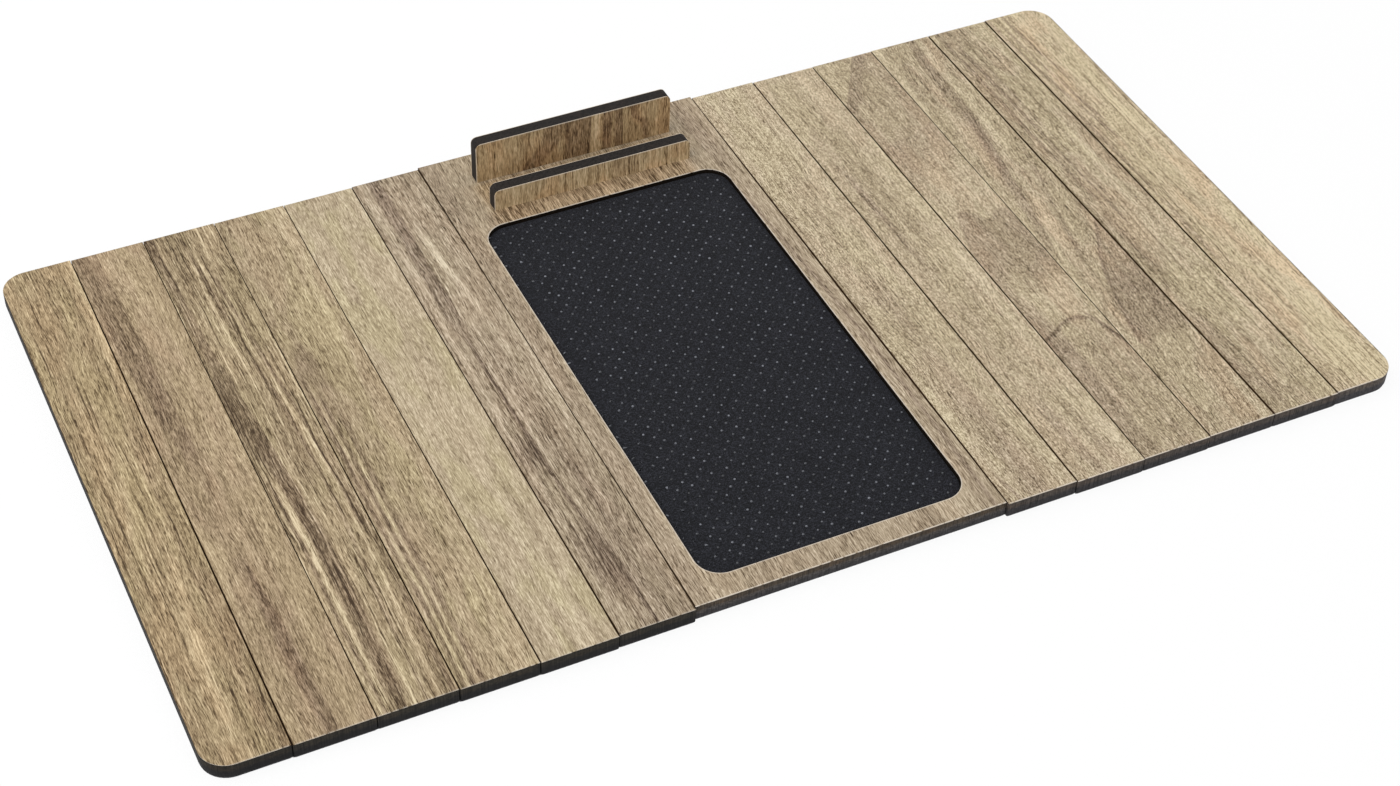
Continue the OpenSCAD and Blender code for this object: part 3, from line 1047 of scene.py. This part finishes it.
for joint in frame["joints"]:
    side, _, place = joint["name"].split("_")
    place = int(place)
    outwards = SIDES[side]
    seam = joint["pos_m"][0]
    inner = "panel_backing" if place == 1 else f"{side}_backing_{place - 1}"
    outer = f"{side}_backing_{place}"
    near = outwards * quarter_panel if place == 1 else middle_x(inner)
    far = middle_x(outer)
    mesh, depth = stretch(near, far, outer)
    for step in range(-CUTS, CUTS + 1):
        everything = mesh.verts[:] + mesh.edges[:] + mesh.faces[:]
        cut = (seam + step * BEND / CUTS, 0, 0)
        bmesh.ops.bisect_plane(mesh, geom=everything, plane_co=cut, plane_no=(1, 0, 0))
    inner_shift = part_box(inner)[0].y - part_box(outer)[0].y
    for vert in mesh.verts:
        off = (vert.co.x - seam) * outwards
        if off < ON_SEAM:
            vert.co.y += inner_shift
        if vert.co.z < HALF_FELT:
            vert.co.z += CREASE * max(0.0, 1 - abs(off) / BEND)
    piece = laid(f"felt_{side}_seam_{place}", mesh)
    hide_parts(outer)
    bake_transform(piece)

for side, outwards in SIDES.items():
    last = f"{side}_backing_{LAST}"
    low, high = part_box(last)
    near = middle_x(last)
    far = (high.x if outwards > 0 else low.x) - outwards * FELT_INSET
    mesh, depth = stretch(near, far, last, SLAT_CORNER - FELT_INSET)
    end = laid(f"felt_{side}_end", mesh)
    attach(end, f"{side}_{LAST}")


# ---- Floor, light and camera ----
# A pale floor that shows only a faint shadow and lets the folded slats be seen, a
# white room, and one large soft lamp above.

WHITE = (1.0, 1.0, 1.0, 1.0)
ROOM_LIGHT = 0.74
FLOOR_HALF = 6.0
FLOOR_DROP = 0.4 * MM
FLOOR_SHARE = 0.09
LAMP_WIDTH, LAMP_DEPTH, LAMP_POWER = 1.6, 1.2, 11.5
LAMP_PLACE = (-0.9, 0.05, 1.3)
AIM_ACROSS, AIM_ALONG = -0.06, -0.266
VIEW_AZIMUTH = math.radians(-27.3)
VIEW_ELEVATION = math.radians(43.1)
VIEW_ROLL = math.radians(2.45)
VIEW_DISTANCE = 2.009
LENS, SENSOR_WIDTH, NEAREST = 65.2, 36.0, 0.05


world = bpy.data.worlds.new("white_room")
bpy.context.scene.world = world
world.use_nodes = True
room = world.node_tree
background = room.nodes["Background"]
rays = room.nodes.new("ShaderNodeLightPath").outputs
seen = Shade(rays["Is Camera Ray"])
for kind in ("Is Glossy Ray", "Is Transmission Ray"):
    seen = seen.math("MAXIMUM", Shade(rays[kind]))
strength = seen * (1.0 - ROOM_LIGHT) + ROOM_LIGHT
background.inputs["Color"].default_value = WHITE
room.links.new(strength.socket, background.inputs["Strength"])

floor_paint = bpy.data.materials.new("pale_floor")
floor_paint.use_nodes = True
floor_tree = floor_paint.node_tree
floor_tree.nodes.remove(floor_tree.nodes["Principled BSDF"])
diffuse = floor_tree.nodes.new("ShaderNodeBsdfDiffuse")
diffuse.inputs["Color"].default_value = WHITE
clear = floor_tree.nodes.new("ShaderNodeBsdfTransparent")
both = floor_tree.nodes.new("ShaderNodeMixShader")
behind = Shade(floor_tree.nodes.new("ShaderNodeNewGeometry").outputs["Backfacing"])
floor_tree.links.new(((1.0 - behind) * FLOOR_SHARE).socket, both.inputs["Fac"])
floor_tree.links.new(clear.outputs[0], both.inputs[1])
floor_tree.links.new(diffuse.outputs[0], both.inputs[2])
floor_tree.links.new(both.outputs[0], floor_tree.nodes["Material Output"].inputs["Surface"])
floor_mesh = bmesh.new()
bmesh.ops.create_grid(floor_mesh, x_segments=1, y_segments=1, size=FLOOR_HALF)
bmesh.ops.translate(floor_mesh, vec=(0, 0, -FLOOR_DROP), verts=floor_mesh.verts[:])
object_from("floor", floor_mesh, floor_paint)

lamp_data = bpy.data.lights.new("softbox", "AREA")
lamp_data.shape = "RECTANGLE"
lamp_data.size = LAMP_WIDTH
lamp_data.size_y = LAMP_DEPTH
lamp_data.energy = LAMP_POWER
lamp = placed("softbox", lamp_data)
lamp.location = LAMP_PLACE
lamp.rotation_euler = (-lamp.location).to_track_quat("-Z", "Y").to_euler()

aim = Vector((AIM_ACROSS * cad_high.x, AIM_ALONG * cad_high.y, top_z * MM))
level = math.cos(VIEW_ELEVATION)
back = Vector((level * math.sin(VIEW_AZIMUTH), -level * math.cos(VIEW_AZIMUTH), math.sin(VIEW_ELEVATION)))
camera_data = bpy.data.cameras.new("camera")
camera_data.lens = LENS
camera_data.sensor_width = SENSOR_WIDTH
camera_data.clip_start = NEAREST
camera = placed("camera", camera_data)
camera.location = aim + back * VIEW_DISTANCE * (cad_high.x - cad_low.x)
camera.rotation_mode = "QUATERNION"
facing_aim = (-back).to_track_quat("-Z", "Y").to_matrix()
camera.rotation_quaternion = (facing_aim @ Matrix.Rotation(VIEW_ROLL, 3, "Z")).to_quaternion()
bpy.context.scene.camera = camera
bpy.context.scene.view_settings.view_transform = "Standard"
